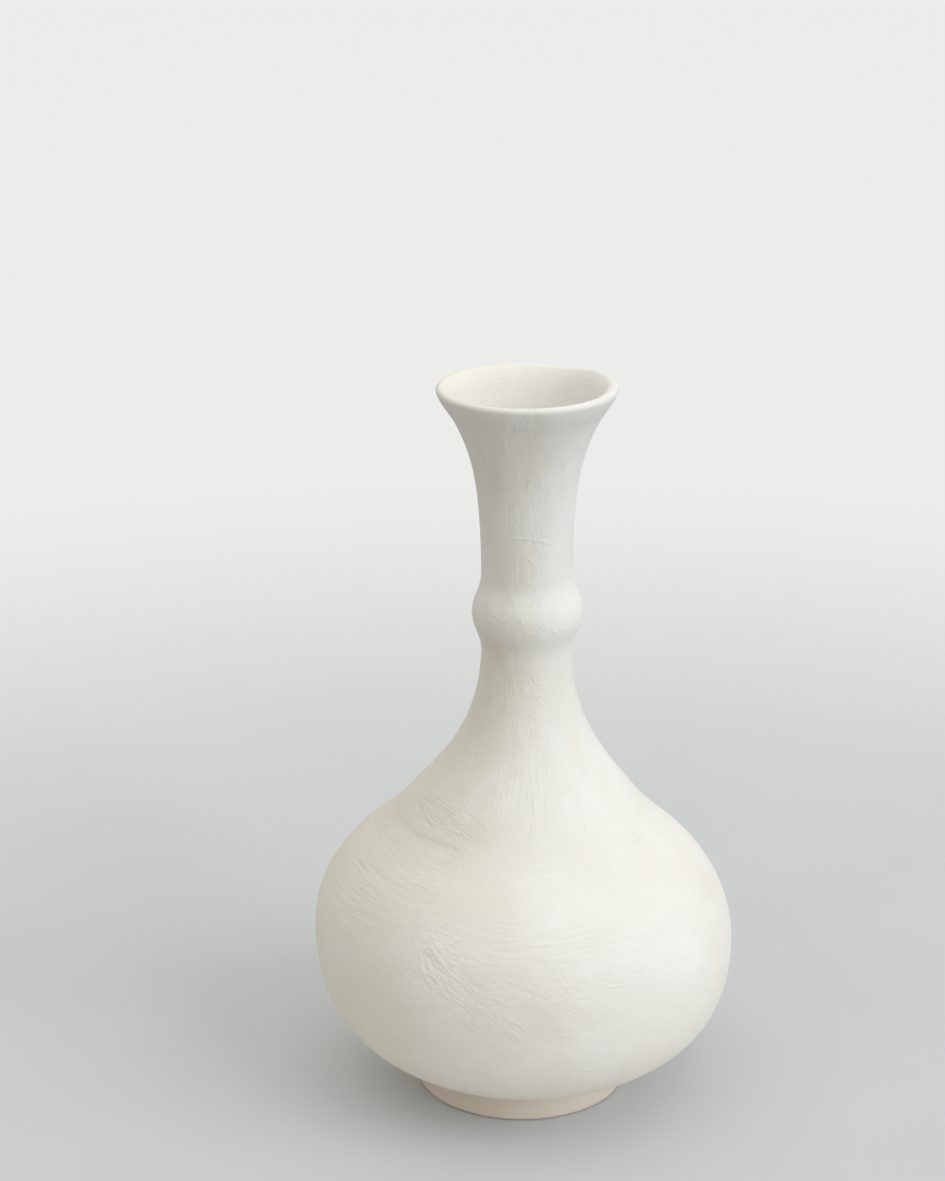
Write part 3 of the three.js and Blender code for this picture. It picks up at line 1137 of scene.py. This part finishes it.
# Painted shade inside the mouth: grey mixed in down the throat.
mouth_shade_share = add_node(tree, "ShaderNodeAttribute", {"attribute_name": "painted_mouth_shade"}, {})
shaded_mouth_colour = add_node(
    tree, "ShaderNodeMix", {"data_type": "RGBA", 7: linear("#DCDBD8")},
    {0: mouth_shade_share.outputs["Fac"], 6: coat_colour.outputs[0]},
)
brush = add_node(tree, "ShaderNodeAttribute", {"attribute_name": "brush"}, {})
press = add_node(tree, "ShaderNodeSeparateXYZ", {}, {0: brush.outputs["Vector"]})
on_stroke = add_node(
    tree, "ShaderNodeVectorMath",
    {"operation": "MULTIPLY", 1: (1 / HAIR_LINE, 1 / HAIR_LENGTH, 0)}, {0: brush.outputs["Vector"]},
)
hairs = add_node(
    tree, "ShaderNodeTexNoise", {"noise_dimensions": "2D", "Scale": 1, "Detail": 1},
    {"Vector": on_stroke.outputs[0]},
)
grain = add_node(
    tree, "ShaderNodeTexNoise", {"Scale": 1 / CHALK_GRAIN, "Detail": 2},
    {"Vector": place.outputs["Object"]},
)
up_and_down = add_node(
    tree, "ShaderNodeMath", {"operation": "SUBTRACT", 1: 0.5}, {0: hairs.outputs["Fac"]}
)
pressed = add_node(
    tree, "ShaderNodeMath", {"operation": "MULTIPLY"},
    {0: up_and_down.outputs[0], 1: press.outputs["Z"]},
)
rough = add_node(
    tree, "ShaderNodeMath", {"operation": "MULTIPLY_ADD", 1: GRAIN_BESIDE_HAIRS},
    {0: grain.outputs["Fac"], 2: pressed.outputs[0]},
)
bump = add_node(
    tree, "ShaderNodeBump", {"Strength": 1, "Distance": CHALK_BUMP}, {"Height": rough.outputs[0]}
)
surface.inputs["Specular IOR Level"].default_value = 0.3
tree.links.new(shaded_mouth_colour.outputs[2], surface.inputs["Base Color"])
tree.links.new(bump.outputs[0], surface.inputs["Normal"])
print("chalk grain", CHALK_GRAIN / MM, "mm, hair lines", HAIR_LINE, "mm")

# %% [markdown]
# Where one stroke ends and another begins, the position across the brush jumps. The shader would smear
# that jump over one face of the mesh, so the press is set to nothing on both sides of it.

# %% Fade the hair lines at the edges of strokes
ACROSS_JUMP = 2
RUN_JUMP = 20

jumps = np.zeros_like(relief, bool)
for axis in (0, 1):
    step = np.abs(brush_across - np.roll(brush_across, 1, axis)) > ACROSS_JUMP
    step |= np.abs(brush_run - np.roll(brush_run, 1, axis)) > RUN_JUMP
    for shift in (-1, 0):
        jumps |= np.roll(step, shift, axis)
brush_press[jumps] = 0
print("edges of strokes cover", round(jumps.mean() * 100), "percent")

# %% [markdown]
# ## The coat as mesh
# Furrows so close need points about half a millimetre apart, which is over a million triangles on the
# whole coat. One mesh of that size is slow to edit, so the coat is turned in bands that meet edge to
# edge, each a closed skin with a dense face and a sparse back. The maps move the face points along the
# direction that points out of the surface. Neighbours read the same map, so their edges match.

# %% Bands of the coat
FACE_STEP = 0.45
BACK_STEP = 5
LIP_BACK_STEP = 0.8
CONE_FROM = 140
MOUTH_FROM = 293
BODY_BANDS = 6
NO_MAP = -1


def read_map(values, along, angle):
    """The map between its points, blended from the four nearest."""
    row = np.clip(along / MAP_STEP, 0, len(row_along) - 1.001)
    column = angle / 360 * COLUMNS
    r, c = row.astype(int), column.astype(int) % COLUMNS
    fr, fc, beside = row - r, column - np.floor(column), (c + 1) % COLUMNS
    lower = values[r, c] * (1 - fc) + values[r, beside] * fc
    upper = values[r + 1, c] * (1 - fc) + values[r + 1, beside] * fc
    return lower * (1 - fr) + upper * fr


def outward(along):
    """The direction out of the surface, as its shares away from the axis and up."""
    away = np.interp(along, outline_along, outline_out)
    return away, np.interp(along, outline_along, outline_up)


def outline_at(along, depth):
    """Points of radius and height at a depth under the face."""
    out, up = outward(along)
    radius = np.interp(along, outline_along, outline_radius) - depth * out
    return np.stack([radius, np.interp(along, outline_along, outline_height) - depth * up], axis=1)


def coat_band(name, start, end, columns, back_step):
    face_along = np.linspace(start, end, round((end - start) / FACE_STEP) + 1)
    back_along = np.linspace(end, start, math.ceil((end - start) / back_step) + 1)
    outline = np.concatenate([outline_at(face_along, 0), outline_at(back_along, COAT_THICKNESS)])
    marked = np.concatenate([face_along, np.full(len(back_along), NO_MAP)])
    band = turn(name, outline, columns, marked)
    along = np.zeros(len(band.data.vertices), np.float32)
    band.data.attributes["along"].data.foreach_get("value", along)
    band.data.attributes.remove(band.data.attributes["along"])
    points = points_of(band)
    angle = angle_of(points)
    rise = read_map(relief, along, angle) * (along > NO_MAP)
    out, up = outward(along)
    points[:, 0] += rise * out * np.cos(np.radians(angle))
    points[:, 1] += rise * out * np.sin(np.radians(angle))
    points[:, 2] += rise * up
    move_points(band, points)
    keep(band.data, "white", read_map(white, along, angle))
    # Painted shade inside the mouth, for the material.
    keep(band.data, "painted_mouth_shade", np.interp(along, row_along, painted_mouth_shade))
    row = np.clip(np.rint(along / MAP_STEP), 0, len(row_along) - 1).astype(int)
    column = np.rint(angle / 360 * COLUMNS).astype(int) % COLUMNS
    brush_maps = (brush_across, brush_run, brush_press)
    marks = np.stack([values[row, column] for values in brush_maps], axis=1)
    band.data.attributes.new("brush", "FLOAT_VECTOR", "POINT").data.foreach_set(
        "vector", marks.astype(np.float32).ravel()
    )
    lean(band)
    finish_piece(band, chalk, "brushed_white", "brushed_coat")


body_borders = np.linspace(0, along_at(SHOULDER), BODY_BANDS + 1)
for i in range(BODY_BANDS):
    coat_band(f"coat_body_{i + 1}", body_borders[i], body_borders[i + 1], COLUMNS, BACK_STEP)
for name, start, end, columns, back_step in [
    ("coat_cone_1", along_at(SHOULDER), along_at(CONE_FROM), 900, BACK_STEP),
    ("coat_cone_2", along_at(CONE_FROM), along_at(UNDER_KNOP), 600, BACK_STEP),
    ("coat_knop", along_at(UNDER_KNOP), along_at(OVER_KNOP), 480, BACK_STEP),
    ("coat_trumpet", along_at(OVER_KNOP), along_at(MOUTH_FROM), 480, BACK_STEP),
    ("coat_mouth", along_at(MOUTH_FROM), FULL_WAY, 480, LIP_BACK_STEP),
]:
    coat_band(name, start, end, columns, back_step)

# %% [markdown]
# ## Size
# The looks must not change the size of the vase. The box of the finished one is printed.

# %% Size of the finished vase
low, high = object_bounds()
print("visual box in mm:", [round(side / MM, 1) for side in high - low])
